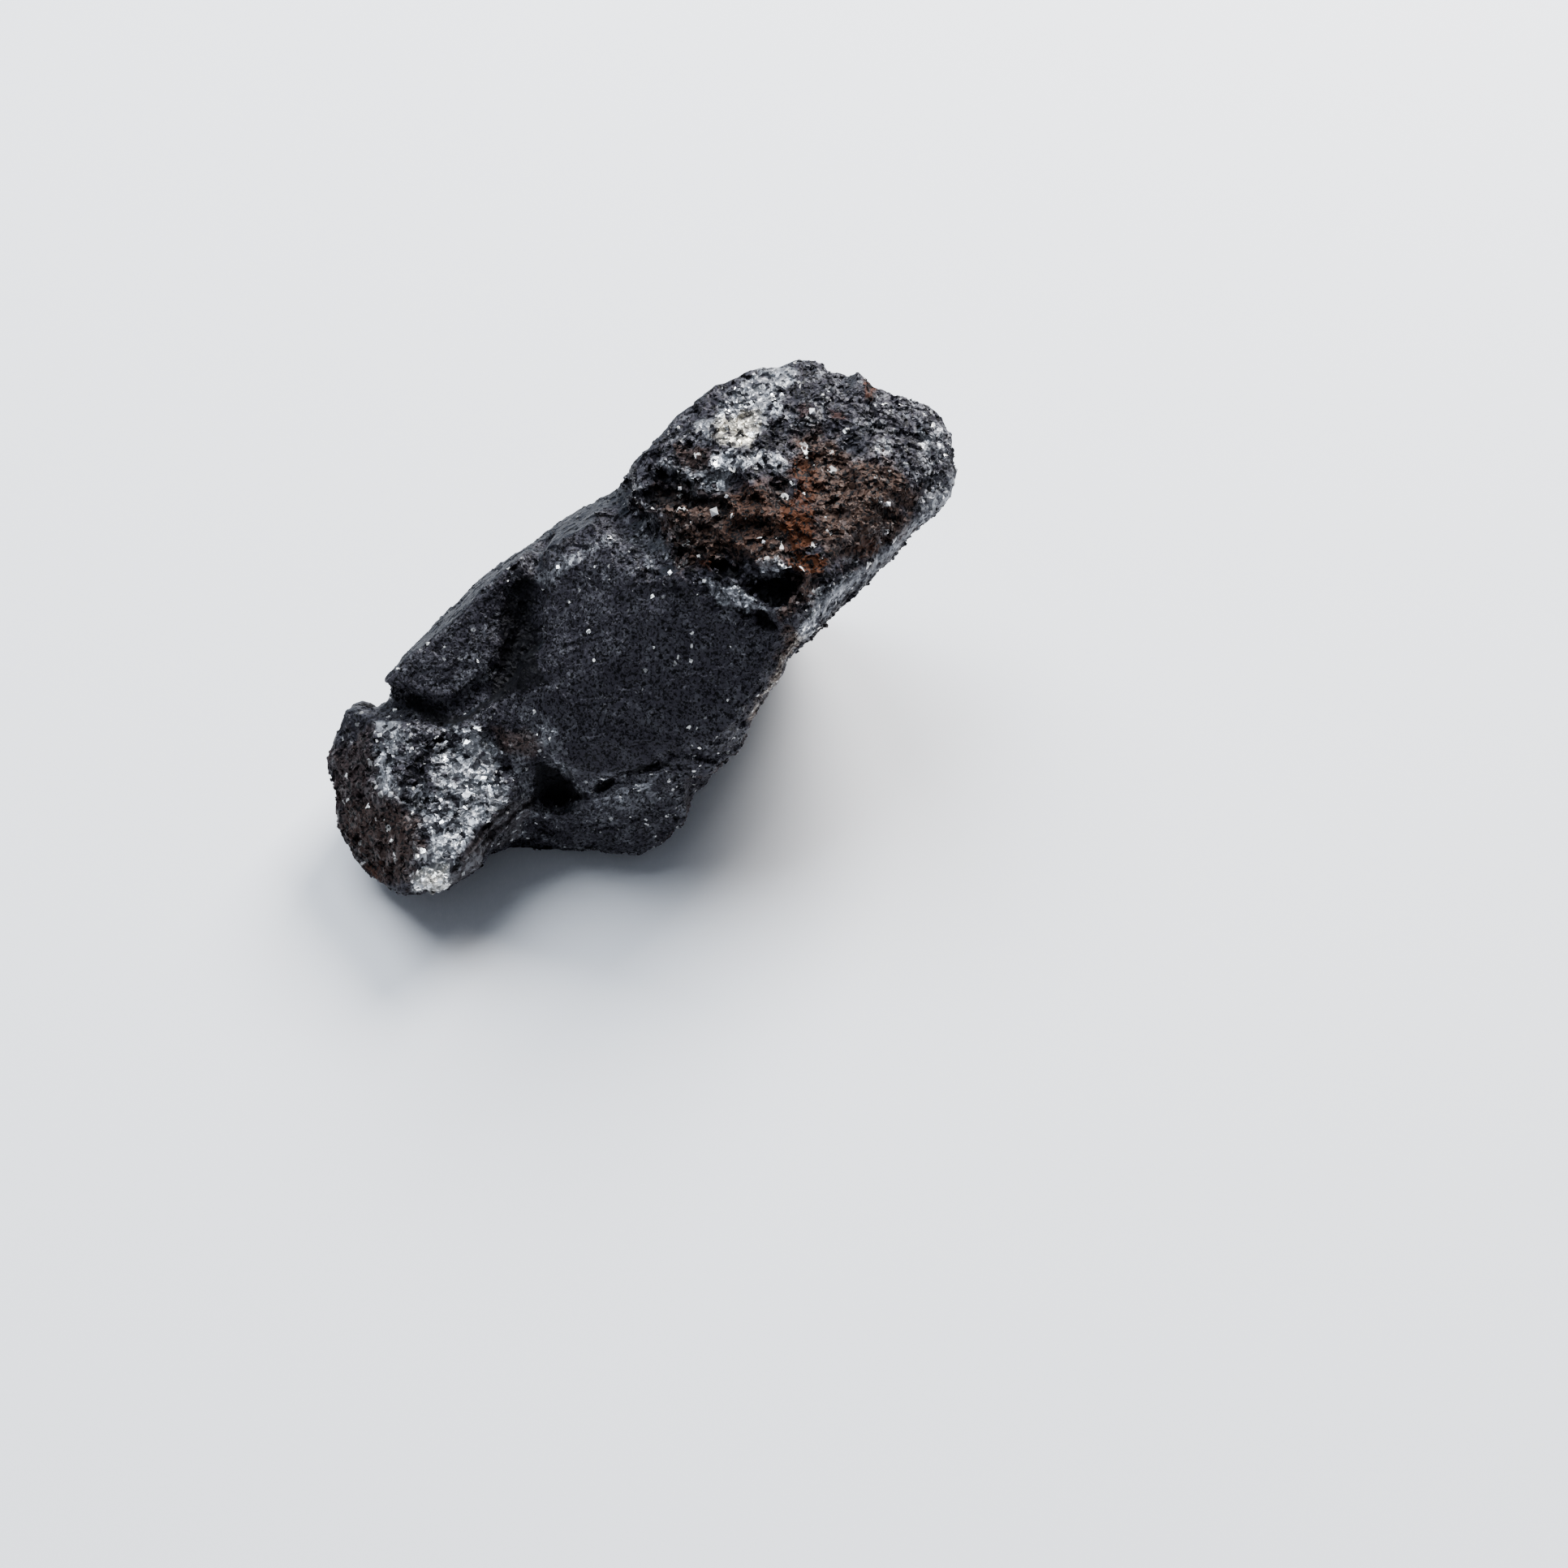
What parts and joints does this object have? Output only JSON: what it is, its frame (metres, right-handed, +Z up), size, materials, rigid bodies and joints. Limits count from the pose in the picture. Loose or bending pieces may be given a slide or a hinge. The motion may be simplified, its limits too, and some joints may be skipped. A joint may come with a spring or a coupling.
{
  "type": "magnetite specimen",
  "caption": "Broken block of granular black magnetite ore with a thick ledged knob, a dark sloping parting face and a bright blunt nose, lying on a flat base.",
  "frame": {"origin": "centre of the bounding box at the flat base on which the block lies", "axes": "+Z up, +X along the block towards the knob, +Y from the dark sloping face towards the back"},
  "size_m": [0.0662, 0.0494, 0.0373],
  "materials": {
    "magnetite": "blue-black granular ore with a dull metallic shine, bright glittering grains and rust stains"
  },
  "bodies": {
    "root": {"magnetite_block": "magnetite"}
  },
  "joints": []
}
